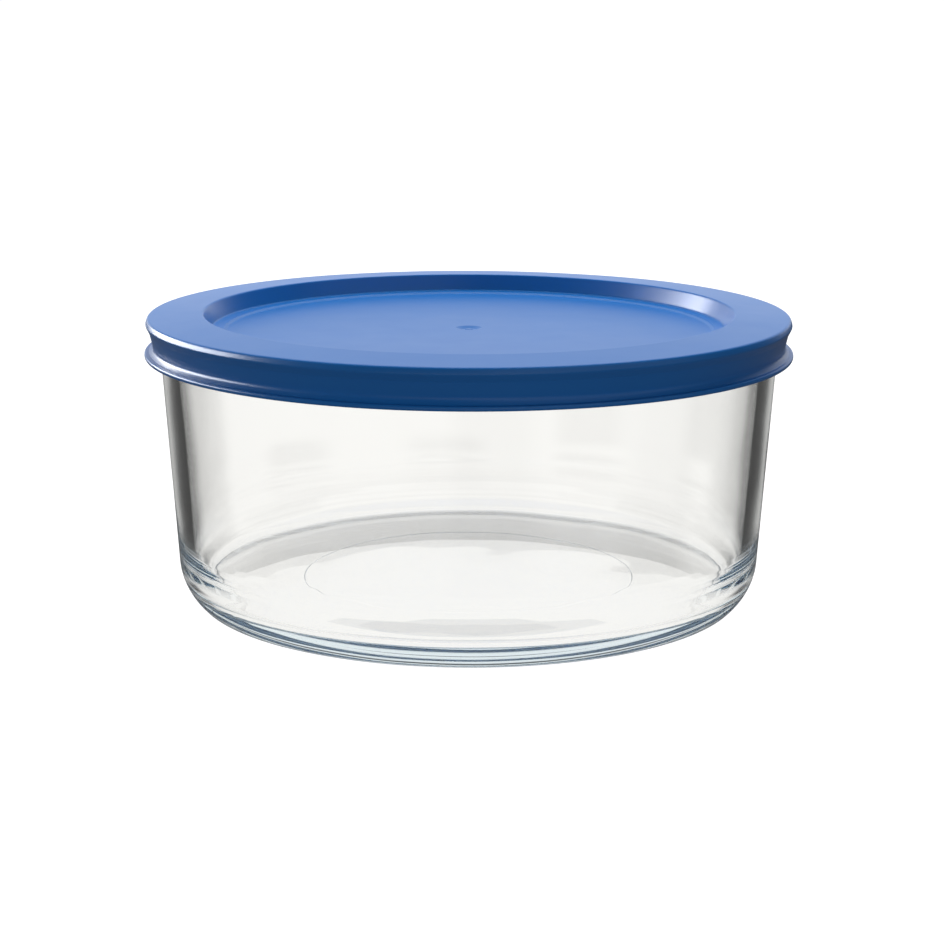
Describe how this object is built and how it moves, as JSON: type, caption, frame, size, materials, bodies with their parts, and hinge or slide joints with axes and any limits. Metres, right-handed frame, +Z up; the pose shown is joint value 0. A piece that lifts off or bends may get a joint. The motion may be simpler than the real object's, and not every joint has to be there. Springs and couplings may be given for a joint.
{
  "type": "glass storage container",
  "caption": "Round clear glass food storage bowl with a flexible snap-fit plastic lid that has a recessed stacking panel and lifts straight off.",
  "frame": {"origin": "on the vertical axis of the bowl, in the plane that its foot stands on", "axes": "+Z up along the bowl's axis, from the foot to the lid; X and Y are alike, because the container is round"},
  "size_m": [0.1638, 0.1638, 0.0731],
  "materials": {
    "clear_glass": "clear, fire-polished soda-lime glass with a faint cool tint in its thick parts",
    "blue_plastic": "satin mid-blue flexible polyethylene"
  },
  "bodies": {
    "bowl": {"glass_bowl": "clear_glass"},
    "lid": {"snap_lid": "blue_plastic"}
  },
  "joints": [
    {"name": "lid_lift", "type": "slide", "parent": "bowl", "child": "lid", "axis": [0, 0, 1], "range_m": [0, 0.1]}
  ]
}
